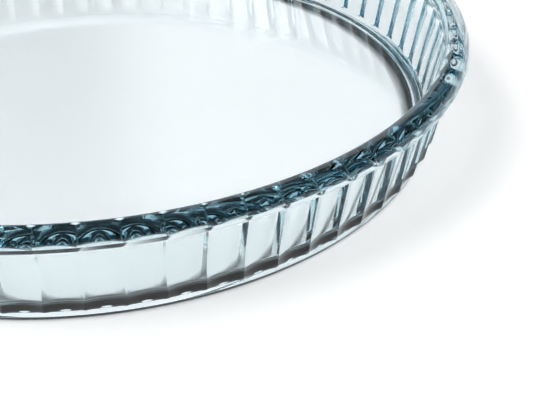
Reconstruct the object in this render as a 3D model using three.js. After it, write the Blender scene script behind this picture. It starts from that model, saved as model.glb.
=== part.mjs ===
// Round pressed-glass baking dish with a round flanged rim and a fluted wall.
// Millimetres, +Z up. The origin is the centre of the foot, on the surface that the dish stands on.
import * as THREE from "three";

// Driving dimensions, in millimetres unless a name says degrees.
const RIM_DIAMETER = 280;
const TOTAL_HEIGHT = 36;
const RIM_THICKNESS = 5.5;
const RIM_OVERHANG = 4.1;
const RIM_TOP_EDGE_RADIUS = 4.2;
const RIM_LOWER_EDGE_RADIUS = 0.8;
const RIM_INNER_EDGE_RADIUS = 2.5;
const NECK_HEIGHT = 0.6;
const NECK_FILLET_RADIUS = 0.4;
const WALL_THICKNESS = 3.45;
const WALL_DRAFT_DEGREES = 11.3;
const FLUTE_COUNT = 72;
const FLUTE_RELIEF = 1.5;
const FLUTE_TOP_RUNOUT = 1.3;
const FLUTE_HEEL_HEIGHT = 1.6;
const RIB_RELIEF = 0.81;
const RIB_TOP_RUNOUT = 3.1;
const RIB_RISE = 2.8;
const FOOT_BAND_HEIGHT = 3.6;
const FOOT_FLARE_DEGREES = 15;
const FOOT_EDGE_RADIUS = 0.65;
const FOOT_WIDTH = 3.5;
const UNDERSIDE_RECESS = 2;
const RECESS_RAMP = 1.7;
const FLOOR_THICKNESS = 2.6;
const FLOOR_FILLET_RADIUS = 4;

// How finely the surface is divided around the dish: on a fluted ring and on a smooth one.
const FLUTED_COLUMNS = FLUTE_COUNT * 4;
const SMOOTH_COLUMNS = FLUTE_COUNT * 2;

// How many steps an edge rounding, the floor fillet and the round ends of the ridges and ribs take.
const EDGE_STEPS = 2;
const RIM_EDGE_STEPS = 3;
const FILLET_STEPS = 3;
const HEEL_STEPS = 3;
const RIB_END_STEPS = 2;

const GLASS_COLOUR = 0xb4ced4;

// Heights and radii that follow from the driving dimensions.
const draftSlope = Math.tan(THREE.MathUtils.degToRad(WALL_DRAFT_DEGREES));
const flareSlope = Math.tan(THREE.MathUtils.degToRad(FOOT_FLARE_DEGREES));
const rimRadius = RIM_DIAMETER / 2;
const rimUnderside = TOTAL_HEIGHT - RIM_THICKNESS;
const neckRadius = rimRadius - RIM_OVERHANG;
const fluteTop = rimUnderside - NECK_HEIGHT;
const floorTop = UNDERSIDE_RECESS + FLOOR_THICKNESS;

// The outer wall is a cone through the middles of the hollow flutes, and the ridges stand out of it.
function outerCone(height) {
  return neckRadius - FLUTE_RELIEF - draftSlope * (fluteTop - height);
}

// The inner wall is a parallel cone through the crowns of the ribs behind the flutes.
function innerCone(height) {
  return outerCone(height) - WALL_THICKNESS;
}

// One level ring of the surface. With relief, it grows by that much from a flute's middle to its ridges.
function ring(radius, height, relief = 0) {
  const columns = relief > 0 ? FLUTED_COLUMNS : SMOOTH_COLUMNS;
  return { radius, height, relief, columns };
}

function axisPoint(height) {
  return { radius: 0, height, relief: 0, columns: 1 };
}

// An angle from 0 to a right angle, for the round end of a ridge or rib.
function quarterTurn(share) {
  return share * (Math.PI / 2);
}

// Smooth rings along an arc of the cross-section, both ends included, with angles in degrees.
function arcRings(centreRadius, centreHeight, arcRadius, fromDegrees, toDegrees, steps) {
  const rings = [];
  for (let step = 0; step <= steps; step += 1) {
    const angle = THREE.MathUtils.degToRad(THREE.MathUtils.lerp(fromDegrees, toDegrees, step / steps));
    const radius = centreRadius + arcRadius * Math.cos(angle);
    const height = centreHeight + arcRadius * Math.sin(angle);
    rings.push(ring(radius, height));
  }
  return rings;
}

// The underside: a recess with a sloping step inside the foot ring that the dish stands on.
function undersideRings(footEdgeRadius) {
  const footInner = footEdgeRadius - FOOT_WIDTH;
  return [
    axisPoint(UNDERSIDE_RECESS),
    ring(footInner - RECESS_RAMP, UNDERSIDE_RECESS),
    ring(footInner, 0),
  ];
}

// The foot band: a rounded lower edge and a smooth flared band up to the heel of the flutes.
function footBandRings() {
  const flareAtEdge = outerCone(FOOT_BAND_HEIGHT) - flareSlope * (FOOT_BAND_HEIGHT - FOOT_EDGE_RADIUS);
  const flareCosine = Math.cos(THREE.MathUtils.degToRad(FOOT_FLARE_DEGREES));
  const edgeCentre = flareAtEdge - FOOT_EDGE_RADIUS / flareCosine;
  return [
    ...undersideRings(edgeCentre),
    ...arcRings(edgeCentre, FOOT_EDGE_RADIUS, FOOT_EDGE_RADIUS, -90, -FOOT_FLARE_DEGREES, EDGE_STEPS),
    ring(outerCone(FOOT_BAND_HEIGHT), FOOT_BAND_HEIGHT),
  ];
}

// The flutes: ridges that round in at the heel, run straight up the cone and fade into the neck.
function fluteRings() {
  const rings = [];
  for (let step = 1; step <= HEEL_STEPS; step += 1) {
    const turn = quarterTurn(step / HEEL_STEPS);
    const height = FOOT_BAND_HEIGHT + FLUTE_HEEL_HEIGHT * (1 - Math.cos(turn));
    rings.push(ring(outerCone(height), height, FLUTE_RELIEF * Math.sin(turn)));
  }
  const runoutStart = fluteTop - FLUTE_TOP_RUNOUT;
  rings.push(ring(outerCone(runoutStart), runoutStart, FLUTE_RELIEF));
  return rings;
}

// The neck and the rim: a fillet under the overhang, a low upright face and a full round upper edge.
function rimRings() {
  const lowerEdge = Math.min(RIM_LOWER_EDGE_RADIUS, RIM_THICKNESS / 2, RIM_OVERHANG / 2);
  const topEdge = Math.min(RIM_TOP_EDGE_RADIUS, RIM_THICKNESS - lowerEdge);
  const fillet = Math.min(NECK_FILLET_RADIUS, NECK_HEIGHT * 0.8, RIM_OVERHANG / 2);
  return [
    ring(neckRadius, fluteTop),
    ...arcRings(neckRadius + fillet, rimUnderside - fillet, fillet, 180, 90, EDGE_STEPS),
    ...arcRings(rimRadius - lowerEdge, rimUnderside + lowerEdge, lowerEdge, -90, 0, EDGE_STEPS),
    ...arcRings(rimRadius - topEdge, TOTAL_HEIGHT - topEdge, topEdge, 0, 90, RIM_EDGE_STEPS),
  ];
}

// The ribs: a round upper end under the rim's inner edge, and a run that fades out down to the fillet.
function ribRings() {
  const ribTop = fluteTop + RIB_RISE;
  const rings = [ring(innerCone(ribTop), ribTop)];
  for (let step = 1; step <= RIB_END_STEPS; step += 1) {
    const turn = quarterTurn(step / RIB_END_STEPS);
    const height = ribTop - RIB_TOP_RUNOUT * (1 - Math.cos(turn));
    rings.push(ring(innerCone(height), height, RIB_RELIEF * Math.sin(turn)));
  }
  return rings;
}

// The inside: the rim's inner edge, the ribs, and a fillet down to the floor.
function insideRings() {
  const edge = Math.min(RIM_INNER_EDGE_RADIUS, RIM_THICKNESS);
  const edgeHeight = TOTAL_HEIGHT - edge;
  const draftCosine = Math.cos(THREE.MathUtils.degToRad(WALL_DRAFT_DEGREES));
  const edgeCentre = innerCone(edgeHeight) + edge / draftCosine;
  const fillet = FLOOR_FILLET_RADIUS;
  const filletHeight = floorTop + fillet;
  const filletCentre = innerCone(filletHeight) - fillet / draftCosine;
  const filletArc = arcRings(filletCentre, filletHeight, fillet, -WALL_DRAFT_DEGREES, -90, FILLET_STEPS);
  return [
    ...arcRings(edgeCentre, edgeHeight, edge, 90, 180 - WALL_DRAFT_DEGREES, EDGE_STEPS),
    ...ribRings(),
    ...filletArc,
    axisPoint(floorTop),
  ];
}

// How far a hollow flute's round section has risen at a share of its half width.
function hollowRise(share, relief, halfWidth) {
  const hollowRadius = (halfWidth * halfWidth + relief * relief) / (2 * relief);
  const offset = share * halfWidth;
  return hollowRadius - Math.sqrt(hollowRadius * hollowRadius - offset * offset);
}

// A point on a ring. The middle of the first flute lies on +X.
function ringPoint(level, column) {
  const turn = column / level.columns;
  let radius = level.radius;
  if (level.relief > 0) {
    const flute = turn * FLUTE_COUNT;
    const share = 2 * Math.abs(flute - Math.round(flute));
    const halfWidth = level.radius * Math.sin(Math.PI / FLUTE_COUNT);
    radius += hollowRise(share, level.relief, halfWidth);
  }
  const angle = turn * 2 * Math.PI;
  return [radius * Math.cos(angle), radius * Math.sin(angle), level.height];
}

// Triangles between two neighbouring rings, which may be divided differently.
function bandTriangles(below, above) {
  const triangles = [];
  let low = 0;
  let high = 0;
  const belowSteps = below.columns > 1 ? below.columns : 0;
  const aboveSteps = above.columns > 1 ? above.columns : 0;
  while (low < belowSteps || high < aboveSteps) {
    const lowVertex = below.first + (low % below.columns);
    const highVertex = above.first + (high % above.columns);
    const lowIsNext = (low + 1) * aboveSteps <= (high + 1) * belowSteps;
    if (low < belowSteps && (lowIsNext || high === aboveSteps)) {
      low += 1;
      triangles.push(lowVertex, below.first + (low % below.columns), highVertex);
    } else {
      high += 1;
      triangles.push(lowVertex, above.first + (high % above.columns), highVertex);
    }
  }
  return triangles;
}

// A closed surface through rings that run from the axis underneath, round the rim and back to the axis.
function loftRings(rings) {
  const positions = [];
  const triangles = [];
  let vertexCount = 0;
  for (const level of rings) {
    level.first = vertexCount;
    vertexCount += level.columns;
    for (let column = 0; column < level.columns; column += 1) {
      positions.push(...ringPoint(level, column));
    }
  }
  for (let index = 1; index < rings.length; index += 1) {
    triangles.push(...bandTriangles(rings[index - 1], rings[index]));
  }
  const geometry = new THREE.BufferGeometry();
  geometry.setAttribute("position", new THREE.Float32BufferAttribute(positions, 3));
  geometry.setIndex(triangles);
  geometry.computeVertexNormals();
  return geometry;
}

// The dish is one pressing: foot, fluted wall and rim are a single piece of glass.
function glassDish() {
  const geometry = loftRings([...footBandRings(), ...fluteRings(), ...rimRings(), ...insideRings()]);
  const material = new THREE.MeshStandardMaterial({
    color: GLASS_COLOUR,
    roughness: 0.05,
    metalness: 0,
    transparent: true,
    opacity: 0.4,
  });
  const mesh = new THREE.Mesh(geometry, material);
  mesh.name = "glass_dish";
  return mesh;
}

const dish = new THREE.Group();
dish.name = "round_baking_dish";
dish.add(glassDish());

export default dish;
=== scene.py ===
import math

import bpy
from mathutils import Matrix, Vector


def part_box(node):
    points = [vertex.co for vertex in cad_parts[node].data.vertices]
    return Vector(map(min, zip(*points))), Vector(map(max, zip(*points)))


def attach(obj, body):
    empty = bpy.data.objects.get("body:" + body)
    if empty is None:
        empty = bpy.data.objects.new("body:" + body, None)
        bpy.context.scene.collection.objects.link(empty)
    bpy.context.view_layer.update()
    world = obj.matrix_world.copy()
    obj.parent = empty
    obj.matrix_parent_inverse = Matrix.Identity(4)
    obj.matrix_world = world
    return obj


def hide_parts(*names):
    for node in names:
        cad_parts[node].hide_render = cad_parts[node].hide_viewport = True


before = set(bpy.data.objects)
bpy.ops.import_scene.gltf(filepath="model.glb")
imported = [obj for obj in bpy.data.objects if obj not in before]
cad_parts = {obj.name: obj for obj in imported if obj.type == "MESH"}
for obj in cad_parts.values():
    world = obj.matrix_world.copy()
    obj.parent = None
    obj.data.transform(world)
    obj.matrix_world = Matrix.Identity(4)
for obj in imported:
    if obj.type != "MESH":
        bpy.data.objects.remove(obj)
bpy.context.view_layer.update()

# Sizes of the dish, in metres. The overall ones come from the frame.
DISH_LOW, DISH_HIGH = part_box("glass_dish")
RIM_RADIUS = (DISH_HIGH[0] - DISH_LOW[0]) / 2
RIM_TOP = DISH_HIGH[2]
RIM_THICKNESS = 0.0055
RIM_OVERHANG = 0.0041
RIM_TOP_EDGE_RADIUS = 0.0042
RIM_LOWER_EDGE_RADIUS = 0.0008
RIM_INNER_EDGE_RADIUS = 0.0025
NECK_HEIGHT = 0.0006
NECK_FILLET_RADIUS = 0.0004
WALL_THICKNESS = 0.00345
WALL_DRAFT = math.radians(11.3)
FLUTE_COUNT = 72
FLUTE_RELIEF = 0.0015
FLUTE_TOP_RUNOUT = 0.0013
FLUTE_HEEL_HEIGHT = 0.0016
FLUTE_RIDGE_RADIUS = 0.0005
RIB_RELIEF = 0.0008
RIB_TOP_RUNOUT = 0.003
RIB_RISE = 0.0028
RIB_GROOVE_RADIUS = 0.0004
FOOT_BAND_HEIGHT = 0.0036
FOOT_FLARE = math.radians(15)
FOOT_EDGE_RADIUS = 0.00065
FOOT_WIDTH = 0.0035
UNDERSIDE_RECESS = 0.002
RECESS_RAMP = 0.0017
RECESS_EDGE_RADIUS = 0.0004
FLOOR_THICKNESS = 0.0026
FLOOR_FILLET_RADIUS = 0.004

# How finely the surface is divided. The guard is the gap between a flat and the ring that keeps it flat.
EDGE_STEPS = 8
HEEL_STEPS = 14
WALL_STEPS = 10
FILLET_STEPS = 18
PLAIN_COLUMNS = FLUTE_COUNT * 2
GUARD = 0.0002
HALF_SHARES = [0.0, 0.22, 0.43, 0.62, 0.78, 0.88, 0.94, 0.97, 1.0]
COLUMN_SHARES = [-share for share in reversed(HALF_SHARES[1:-1])] + HALF_SHARES

# Where the coarser rings of the underside and the floor lie, and the relief below which a ring is round.
RECESS_MARGIN = 0.004
FLOOR_RING_SHARE = 0.9
LEAST_RELIEF = 1e-7

# Glass: clear with a blue-green tint that deepens where light runs along the wall.
ABSORB_COLOUR = (0.30, 0.67, 0.78, 1.0)
ABSORB_DENSITY = 40.0
GLASS_IOR = 1.48
ROUGHNESS_LOW = 0.0
ROUGHNESS_HIGH = 0.006
WAVE_SCALE = 90.0
WAVE_DETAIL = 2.0
WAVE_DEPTH = 0.00002

# Studio: a white floor, a white panel behind, a white wall on the left and a white horizon, under a dark
# ceiling. The floor's glow has a strength near the dish and distances over which it rises to one. The
# horizon's values are heights of a direction of length one.
CEILING_COLOUR = (0.02, 0.025, 0.03, 1.0)
FLOOR_REACH = 10.0
FLOOR_LEVEL = -0.0002
FLOOR_COLOUR = 0.8
FLOOR_GLOW_NEAR = 0.58
FLOOR_GLOW_FADE = (0.3, 1.0)
HORIZON_WHITE = 0.19
HORIZON_END = 0.276
BACKDROP_PLACE = 1.2
BACKDROP_HALF_WIDTH = 2.0
BACKDROP_HEIGHT = 1.0
BACKDROP_LOW_FADE = (0.36, 0.46)
BACKDROP_TOP_FADE = (0.95, 0.80)
BACKDROP_LEFT_FADE = (-0.25, -0.05)
BACKDROP_RIGHT_FADE = (0.36, 0.28)
SIDE_WALL_PLACE = -1.0
SIDE_WALL_SPAN = (-0.8, 1.2)
SIDE_WALL_HEIGHT = 1.8
SOFTBOX_PLACE = (-0.9, -0.3, 1.1)
SOFTBOX_SIZE = 1.13
SOFTBOX_POWER = 30.0
LIGHT_BOUNCES = 12

# The floor's painted contact shade under the foot, the same for every ray: distances from the dish's axis
# with their darkness.
# Distances times the scale are places on a ramp.
SHADE_SCALE = 2.0
PAINTED_CONTACT_SHADE_STOPS = [(0.0, 0), (0.1182, 0), (0.1197, 0.95), (0.1268, 0.95), (0.1285, 0)]

# Camera, from the rim, foot and flute lines of the photograph.
IMAGE_WIDTH = 550
FOCAL_PIXELS = 1112.4
CAMERA_PLACE = Vector((0.0713, -0.3707, 0.198))
CAMERA_PITCH = math.radians(33.352)
FLUTE_PHASE = math.radians(-0.843)
SENSOR_WIDTH = 36.0
CLIP_START = 0.01

draft_slope = math.tan(WALL_DRAFT)
flare_slope = math.tan(FOOT_FLARE)
rim_underside = RIM_TOP - RIM_THICKNESS
neck_radius = RIM_RADIUS - RIM_OVERHANG
flute_top = rim_underside - NECK_HEIGHT
floor_top = UNDERSIDE_RECESS + FLOOR_THICKNESS


def outer_cone(height):
    """Radius of the outer wall in the middle of a flute."""
    return neck_radius - FLUTE_RELIEF - draft_slope * (flute_top - height)


def inner_cone(height):
    """Radius of the inner wall on the crown of a rib."""
    return outer_cone(height) - WALL_THICKNESS


def ring(radius, height, relief=0.0, edge=FLUTE_RIDGE_RADIUS):
    """A ring whose radius grows by the relief from each flute's middle to the ridges beside it."""
    return {"radius": radius, "height": height, "relief": relief, "edge": edge, "plain": False}


def plain_ring(radius, height):
    return {"radius": radius, "height": height, "relief": 0.0, "edge": 0.0, "plain": True}


def arc_rings(centre_radius, centre_height, arc_radius, start, end, steps):
    """Smooth rings along an arc of the cross-section, both ends included."""
    rings = []
    for step in range(steps + 1):
        angle = start + (end - start) * step / steps
        rings.append(ring(centre_radius + arc_radius * math.cos(angle),
                          centre_height + arc_radius * math.sin(angle)))
    return rings


def foot_rings():
    """The recessed underside, its step, the foot ring with its rounded edge, and the smooth band above it."""
    flare_at_edge = outer_cone(FOOT_BAND_HEIGHT) - flare_slope * (FOOT_BAND_HEIGHT - FOOT_EDGE_RADIUS)
    edge_centre = flare_at_edge - FOOT_EDGE_RADIUS / math.cos(FOOT_FLARE)
    step_outer = edge_centre - FOOT_WIDTH
    step_inner = step_outer - RECESS_RAMP
    lean = math.atan2(RECESS_RAMP, UNDERSIDE_RECESS)
    round_inner = step_inner - RECESS_EDGE_RADIUS
    round_outer = step_outer + RECESS_EDGE_RADIUS
    rings = [plain_ring(0.0, UNDERSIDE_RECESS)]
    rings.append(plain_ring(round_inner - RECESS_MARGIN, UNDERSIDE_RECESS))
    rings.append(ring(round_inner - GUARD, UNDERSIDE_RECESS))
    rings += arc_rings(round_inner, UNDERSIDE_RECESS - RECESS_EDGE_RADIUS, RECESS_EDGE_RADIUS,
                       math.pi / 2, lean, EDGE_STEPS)
    rings += arc_rings(round_outer, RECESS_EDGE_RADIUS, RECESS_EDGE_RADIUS,
                       math.pi + lean, 1.5 * math.pi, EDGE_STEPS)
    rings.append(ring(round_outer + GUARD, 0.0))
    rings.append(ring(edge_centre - GUARD, 0.0))
    rings += arc_rings(edge_centre, FOOT_EDGE_RADIUS, FOOT_EDGE_RADIUS,
                       -math.pi / 2, -FOOT_FLARE, EDGE_STEPS)
    rings.append(ring(outer_cone(FOOT_BAND_HEIGHT - GUARD), FOOT_BAND_HEIGHT - GUARD))
    rings.append(ring(outer_cone(FOOT_BAND_HEIGHT), FOOT_BAND_HEIGHT))
    return rings


def flute_rings():
    """The flutes: ridges that round in at the heel, run straight up, and fade into the neck."""
    rings = []
    for step in range(1, HEEL_STEPS + 1):
        turn = math.pi / 2 * step / HEEL_STEPS
        height = FOOT_BAND_HEIGHT + FLUTE_HEEL_HEIGHT * (1 - math.cos(turn))
        rings.append(ring(outer_cone(height), height, FLUTE_RELIEF * math.sin(turn)))
    heel_top = FOOT_BAND_HEIGHT + FLUTE_HEEL_HEIGHT
    runout_start = flute_top - FLUTE_TOP_RUNOUT
    for step in range(1, WALL_STEPS + 1):
        height = heel_top + (runout_start - heel_top) * step / WALL_STEPS
        rings.append(ring(outer_cone(height), height, FLUTE_RELIEF))
    for step in range(1, EDGE_STEPS):
        share = step / EDGE_STEPS
        height = runout_start + FLUTE_TOP_RUNOUT * share
        relief = FLUTE_RELIEF * (1 + math.cos(math.pi * share)) / 2
        ridge = outer_cone(height) + FLUTE_RELIEF
        ridge += (neck_radius - ridge) * share
        rings.append(ring(ridge - relief, height, relief))
    return rings


def rim_rings():
    """The neck and the rim: a fillet under the overhang, a low upright face and a full round upper edge."""
    lower_centre = RIM_RADIUS - RIM_LOWER_EDGE_RADIUS
    upper_centre = RIM_RADIUS - RIM_TOP_EDGE_RADIUS
    rings = [ring(neck_radius, flute_top)]
    rings += arc_rings(neck_radius + NECK_FILLET_RADIUS, rim_underside - NECK_FILLET_RADIUS,
                       NECK_FILLET_RADIUS, math.pi, math.pi / 2, EDGE_STEPS)
    rings += arc_rings(lower_centre, rim_underside + RIM_LOWER_EDGE_RADIUS, RIM_LOWER_EDGE_RADIUS,
                       -math.pi / 2, 0.0, EDGE_STEPS)
    rings += arc_rings(upper_centre, RIM_TOP - RIM_TOP_EDGE_RADIUS, RIM_TOP_EDGE_RADIUS,
                       0.0, math.pi / 2, EDGE_STEPS)
    return rings


def rib_rings(fillet_arc):
    """The ribs: a round upper end, and a run that grows shallower down to the fillet."""
    rib_top = flute_top + RIB_RISE
    rings = [ring(inner_cone(rib_top), rib_top)]
    for step in range(1, HEEL_STEPS + 1):
        turn = math.pi / 2 * step / HEEL_STEPS
        height = rib_top - RIB_TOP_RUNOUT * (1 - math.cos(turn))
        rings.append(ring(inner_cone(height), height, RIB_RELIEF * math.sin(turn), RIB_GROOVE_RADIUS))
    run_top = rib_top - RIB_TOP_RUNOUT
    run_bottom = fillet_arc[0]["height"]
    for step in range(1, WALL_STEPS):
        share = step / WALL_STEPS
        height = run_top + (run_bottom - run_top) * share
        rings.append(ring(inner_cone(height), height, RIB_RELIEF * (1 - share), RIB_GROOVE_RADIUS))
    return rings + fillet_arc


def inside_rings():
    """The rim's inner edge, the ribs, the fillet and the floor."""
    edge_height = RIM_TOP - RIM_INNER_EDGE_RADIUS
    edge_centre = inner_cone(edge_height) + RIM_INNER_EDGE_RADIUS / math.cos(WALL_DRAFT)
    fillet_height = floor_top + FLOOR_FILLET_RADIUS
    fillet_centre = inner_cone(fillet_height) - FLOOR_FILLET_RADIUS / math.cos(WALL_DRAFT)
    fillet_arc = arc_rings(fillet_centre, fillet_height, FLOOR_FILLET_RADIUS,
                           -WALL_DRAFT, -math.pi / 2, FILLET_STEPS)
    rings = arc_rings(edge_centre, edge_height, RIM_INNER_EDGE_RADIUS,
                      math.pi / 2, math.pi - WALL_DRAFT, EDGE_STEPS)
    rings += rib_rings(fillet_arc)
    rings.append(ring(fillet_centre - GUARD, floor_top))
    rings.append(plain_ring(fillet_centre * FLOOR_RING_SHARE, floor_top))
    rings.append(plain_ring(0.0, floor_top))
    return rings


def swell(share, relief, edge, half_width):
    """How far the section stands out from a flute's middle: a round hollow with a small round ridge."""
    both = (half_width ** 2 + relief ** 2) / (2 * relief)
    small = min(edge, both / 2)
    hollow = both - small
    offset = abs(share) * half_width
    if offset <= half_width * hollow / both:
        return hollow - math.sqrt(hollow ** 2 - offset ** 2)
    return relief - small + math.sqrt(max(small ** 2 - (half_width - offset) ** 2, 0.0))


def ring_points(level):
    if level["radius"] == 0.0:
        return [(0.0, 0.0, level["height"])]
    points = []
    if level["plain"]:
        for column in range(PLAIN_COLUMNS):
            angle = 2 * math.pi * column / PLAIN_COLUMNS
            radius = level["radius"]
            points.append((radius * math.cos(angle), radius * math.sin(angle), level["height"]))
        return points
    half_angle = math.pi / FLUTE_COUNT
    half_width = level["radius"] * math.sin(half_angle)
    swells = [0.0] * len(COLUMN_SHARES)
    if level["relief"] > LEAST_RELIEF:
        swells = [swell(share, level["relief"], level["edge"], half_width) for share in COLUMN_SHARES]
    for flute in range(FLUTE_COUNT):
        for share, extra in zip(COLUMN_SHARES, swells):
            angle = half_angle * (2 * flute + share)
            radius = level["radius"] + extra
            points.append((radius * math.cos(angle), radius * math.sin(angle), level["height"]))
    return points


def ring_turns(level):
    """Where each column of a ring lies, as a share of a full turn."""
    if level["radius"] == 0.0:
        return []
    if level["plain"]:
        return [column / PLAIN_COLUMNS for column in range(PLAIN_COLUMNS)]
    halves = 2 * FLUTE_COUNT
    return [(2 * flute + share) / halves for flute in range(FLUTE_COUNT) for share in COLUMN_SHARES]


def next_turn(turns, index):
    if index >= len(turns):
        return math.inf
    if index + 1 == len(turns):
        return turns[0] + 1
    return turns[index + 1]


def band_faces(first_low, turns_low, first_high, turns_high):
    """Faces between two rings, as quads where they are divided alike."""
    count_low = len(turns_low)
    count_high = len(turns_high)
    faces = []
    if count_low == count_high:
        for column in range(count_low):
            after = (column + 1) % count_low
            faces.append((first_low + column, first_low + after, first_high + after, first_high + column))
        return faces
    low = 0
    high = 0
    while low < count_low or high < count_high:
        low_vertex = first_low + (low % count_low if count_low else 0)
        high_vertex = first_high + (high % count_high if count_high else 0)
        if next_turn(turns_low, low) <= next_turn(turns_high, high):
            low += 1
            faces.append((low_vertex, first_low + low % count_low, high_vertex))
        else:
            high += 1
            faces.append((low_vertex, first_high + high % count_high, high_vertex))
    return faces


def make_dish():
    """The dish as one closed surface from the axis underneath, round the rim, back to the axis."""
    rings = foot_rings() + flute_rings() + rim_rings() + inside_rings()
    points = []
    faces = []
    last = None
    for level in rings:
        first = len(points)
        points += ring_points(level)
        turns = ring_turns(level)
        if last is not None:
            faces += band_faces(last[0], last[1], first, turns)
        last = (first, turns)
    mesh = bpy.data.meshes.new("dish_glass")
    mesh.from_pydata(points, [], faces)
    mesh.validate()
    mesh.polygons.foreach_set("use_smooth", [True] * len(mesh.polygons))
    dish = bpy.data.objects.new("dish_glass", mesh)
    bpy.context.collection.objects.link(dish)
    return dish


def glass_material():
    """Clear tinted glass with the faint unevenness of a pressing, in its surface and in its polish."""
    material = bpy.data.materials.new("tinted_glass")
    material.use_nodes = True
    tree = material.node_tree
    shader = tree.nodes["Principled BSDF"]
    shader.inputs["Base Color"].default_value = (1.0, 1.0, 1.0, 1.0)
    shader.inputs["Transmission Weight"].default_value = 1.0
    shader.inputs["IOR"].default_value = GLASS_IOR
    place = tree.nodes.new("ShaderNodeTexCoord")
    waves = tree.nodes.new("ShaderNodeTexNoise")
    waves.inputs["Scale"].default_value = WAVE_SCALE
    waves.inputs["Detail"].default_value = WAVE_DETAIL
    tree.links.new(place.outputs["Object"], waves.inputs["Vector"])
    bump = tree.nodes.new("ShaderNodeBump")
    bump.inputs["Strength"].default_value = 1.0
    bump.inputs["Distance"].default_value = WAVE_DEPTH
    tree.links.new(waves.outputs["Fac"], bump.inputs["Height"])
    tree.links.new(bump.outputs["Normal"], shader.inputs["Normal"])
    polish = tree.nodes.new("ShaderNodeMapRange")
    polish.inputs["To Min"].default_value = ROUGHNESS_LOW
    polish.inputs["To Max"].default_value = ROUGHNESS_HIGH
    tree.links.new(waves.outputs["Fac"], polish.inputs["Value"])
    tree.links.new(polish.outputs["Result"], shader.inputs["Roughness"])
    volume = tree.nodes.new("ShaderNodeVolumeAbsorption")
    volume.inputs["Color"].default_value = ABSORB_COLOUR
    volume.inputs["Density"].default_value = ABSORB_DENSITY
    tree.links.new(volume.outputs["Volume"], tree.nodes["Material Output"].inputs["Volume"])
    return material


def make_camera():
    camera = bpy.data.cameras.new("camera")
    camera.sensor_width = SENSOR_WIDTH
    camera.lens = FOCAL_PIXELS * SENSOR_WIDTH / IMAGE_WIDTH
    camera.clip_start = CLIP_START
    camera_object = bpy.data.objects.new("camera", camera)
    camera_object.location = (CAMERA_PLACE.x * math.cos(FLUTE_PHASE) - CAMERA_PLACE.y * math.sin(FLUTE_PHASE),
                              CAMERA_PLACE.x * math.sin(FLUTE_PHASE) + CAMERA_PLACE.y * math.cos(FLUTE_PHASE),
                              CAMERA_PLACE.z)
    camera_object.rotation_euler = (math.pi / 2 - CAMERA_PITCH, 0.0, FLUTE_PHASE)
    bpy.context.collection.objects.link(camera_object)
    bpy.context.scene.camera = camera_object


def maths(tree, operation, first, second):
    """The result of an operation on two sockets or numbers."""
    node = tree.nodes.new("ShaderNodeMath")
    node.operation = operation
    for socket, value in zip(node.inputs, (first, second)):
        if isinstance(value, (int, float)):
            socket.default_value = value
        else:
            tree.links.new(value, socket)
    return node.outputs[0]


def seen_rays(tree, path):
    """A value of one for rays that come from the camera, a reflection or through glass."""
    mirrored = maths(tree, "MAXIMUM", path.outputs["Is Camera Ray"], path.outputs["Is Glossy Ray"])
    return maths(tree, "MAXIMUM", mirrored, path.outputs["Is Transmission Ray"])


def fade(tree, value, span, least=0.0):
    """A smooth change from a least value to one between two places."""
    node = tree.nodes.new("ShaderNodeMapRange")
    node.interpolation_type = "SMOOTHSTEP"
    node.inputs["From Min"].default_value = span[0]
    node.inputs["From Max"].default_value = span[1]
    node.inputs["To Min"].default_value = least
    tree.links.new(value, node.inputs["Value"])
    return node.outputs["Result"]


def painted_ring_shade(tree, distance, stops):
    """A painted darkness that depends on the distance from the dish's axis, up to half a metre."""
    ramp = tree.nodes.new("ShaderNodeValToRGB")
    tree.links.new(maths(tree, "MULTIPLY", distance, SHADE_SCALE), ramp.inputs["Fac"])
    elements = ramp.color_ramp.elements
    while len(elements) < len(stops):
        elements.new(1.0)
    for element, (place, shade) in zip(elements, stops):
        element.position = place * SHADE_SCALE
        element.color = (shade, shade, shade, 1.0)
    return ramp.outputs["Color"]


def axis_distance(tree):
    """The distance from the dish's axis on the floor."""
    geometry = tree.nodes.new("ShaderNodeNewGeometry")
    away = tree.nodes.new("ShaderNodeVectorMath")
    away.operation = "LENGTH"
    tree.links.new(geometry.outputs["Position"], away.inputs[0])
    return away.outputs["Value"]


def bare_material(name):
    """A material with an empty surface, and its node tree."""
    material = bpy.data.materials.new(name)
    material.use_nodes = True
    tree = material.node_tree
    tree.nodes.remove(tree.nodes["Principled BSDF"])
    return material, tree


def floor_material():
    """A pale floor that takes the dish's shadow, with a glow that brings it up to white, and a painted
    contact shade under the foot.
    """
    material, tree = bare_material("white_floor")
    path = tree.nodes.new("ShaderNodeLightPath")
    away = axis_distance(tree)
    # Painted contact shade under the foot: it darkens both the glow and the diffuse colour.
    light_after_painted_shade = maths(tree, "SUBTRACT", 1.0, painted_ring_shade(tree, away, PAINTED_CONTACT_SHADE_STOPS))
    level = maths(tree, "MULTIPLY", light_after_painted_shade, fade(tree, away, FLOOR_GLOW_FADE, FLOOR_GLOW_NEAR))
    glow = tree.nodes.new("ShaderNodeEmission")
    tree.links.new(maths(tree, "MULTIPLY", seen_rays(tree, path), level), glow.inputs["Strength"])
    diffuse = tree.nodes.new("ShaderNodeBsdfDiffuse")
    tree.links.new(maths(tree, "MULTIPLY", light_after_painted_shade, FLOOR_COLOUR), diffuse.inputs["Color"])
    both = tree.nodes.new("ShaderNodeAddShader")
    tree.links.new(diffuse.outputs[0], both.inputs[0])
    tree.links.new(glow.outputs[0], both.inputs[1])
    tree.links.new(both.outputs[0], tree.nodes["Material Output"].inputs["Surface"])
    return material


def side_wall_material():
    material, tree = bare_material("white_side_wall")
    path = tree.nodes.new("ShaderNodeLightPath")
    glow = tree.nodes.new("ShaderNodeEmission")
    tree.links.new(seen_rays(tree, path), glow.inputs["Strength"])
    tree.links.new(glow.outputs[0], tree.nodes["Material Output"].inputs["Surface"])
    return material


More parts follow.
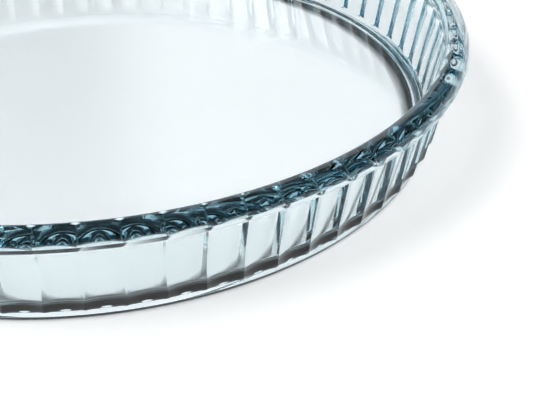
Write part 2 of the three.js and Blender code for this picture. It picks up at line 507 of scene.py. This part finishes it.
def backdrop_material():
    """A white panel that fades out to clear at all its edges."""
    material, tree = bare_material("white_backdrop")
    path = tree.nodes.new("ShaderNodeLightPath")
    glow = tree.nodes.new("ShaderNodeEmission")
    clear = tree.nodes.new("ShaderNodeBsdfTransparent")
    geometry = tree.nodes.new("ShaderNodeNewGeometry")
    split = tree.nodes.new("ShaderNodeSeparateXYZ")
    tree.links.new(geometry.outputs["Position"], split.inputs[0])
    low = fade(tree, split.outputs["Z"], BACKDROP_LOW_FADE)
    top = fade(tree, split.outputs["Z"], BACKDROP_TOP_FADE)
    left = fade(tree, split.outputs["X"], BACKDROP_LEFT_FADE)
    right = fade(tree, split.outputs["X"], BACKDROP_RIGHT_FADE)
    height = maths(tree, "MULTIPLY", low, top)
    width = maths(tree, "MULTIPLY", left, right)
    white = maths(tree, "MULTIPLY", height, width)
    mix = tree.nodes.new("ShaderNodeMixShader")
    tree.links.new(maths(tree, "MULTIPLY", seen_rays(tree, path), white), mix.inputs["Fac"])
    tree.links.new(clear.outputs[0], mix.inputs[1])
    tree.links.new(glow.outputs[0], mix.inputs[2])
    tree.links.new(mix.outputs[0], tree.nodes["Material Output"].inputs["Surface"])
    return material


def make_stage(name, corners, material):
    mesh = bpy.data.meshes.new(name)
    mesh.from_pydata(corners, [], [(0, 1, 2, 3)])
    mesh.materials.append(material)
    stage = bpy.data.objects.new(name, mesh)
    bpy.context.collection.objects.link(stage)


def make_studio():
    reach = FLOOR_REACH
    level = FLOOR_LEVEL
    make_stage("floor", [(-reach, -reach, level), (reach, -reach, level), (reach, reach, level),
                         (-reach, reach, level)], floor_material())
    wide = BACKDROP_HALF_WIDTH
    place = BACKDROP_PLACE
    top = BACKDROP_HEIGHT
    make_stage("backdrop", [(-wide, place, 0.0), (wide, place, 0.0), (wide, place, top), (-wide, place, top)],
               backdrop_material())
    side = SIDE_WALL_PLACE
    front, back = SIDE_WALL_SPAN
    top = SIDE_WALL_HEIGHT
    make_stage("side_wall", [(side, front, 0.0), (side, back, 0.0), (side, back, top), (side, front, top)],
               side_wall_material())


def make_world():
    """White near the horizon on all sides and a dark ceiling above, the same for every ray."""
    world = bpy.data.worlds.new("studio")
    bpy.context.scene.world = world
    world.use_nodes = True
    tree = world.node_tree
    place = tree.nodes.new("ShaderNodeTexCoord")
    split = tree.nodes.new("ShaderNodeSeparateXYZ")
    tree.links.new(place.outputs["Generated"], split.inputs[0])
    ramp = tree.nodes.new("ShaderNodeValToRGB")
    tree.links.new(split.outputs["Z"], ramp.inputs["Fac"])
    low, high = ramp.color_ramp.elements
    low.position = HORIZON_WHITE
    low.color = (1.0, 1.0, 1.0, 1.0)
    high.position = HORIZON_END
    high.color = CEILING_COLOUR
    tree.links.new(ramp.outputs["Color"], tree.nodes["Background"].inputs["Color"])


def make_lamp(name, place, size, power):
    lamp = bpy.data.lights.new(name, "AREA")
    lamp.energy = power
    lamp.size = size
    lamp_object = bpy.data.objects.new(name, lamp)
    lamp_object.location = place
    lamp_object.rotation_euler = (-Vector(place)).to_track_quat("-Z", "Y").to_euler()
    bpy.context.collection.objects.link(lamp_object)


make_camera()
dish = make_dish()
dish.data.materials.append(glass_material())
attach(dish, "root")
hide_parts("glass_dish")
make_studio()
make_world()
make_lamp("left_softbox", SOFTBOX_PLACE, SOFTBOX_SIZE, SOFTBOX_POWER)

scene = bpy.context.scene
scene.view_settings.view_transform = "Standard"
scene.cycles.max_bounces = LIGHT_BOUNCES
scene.cycles.transmission_bounces = LIGHT_BOUNCES
scene.cycles.glossy_bounces = LIGHT_BOUNCES
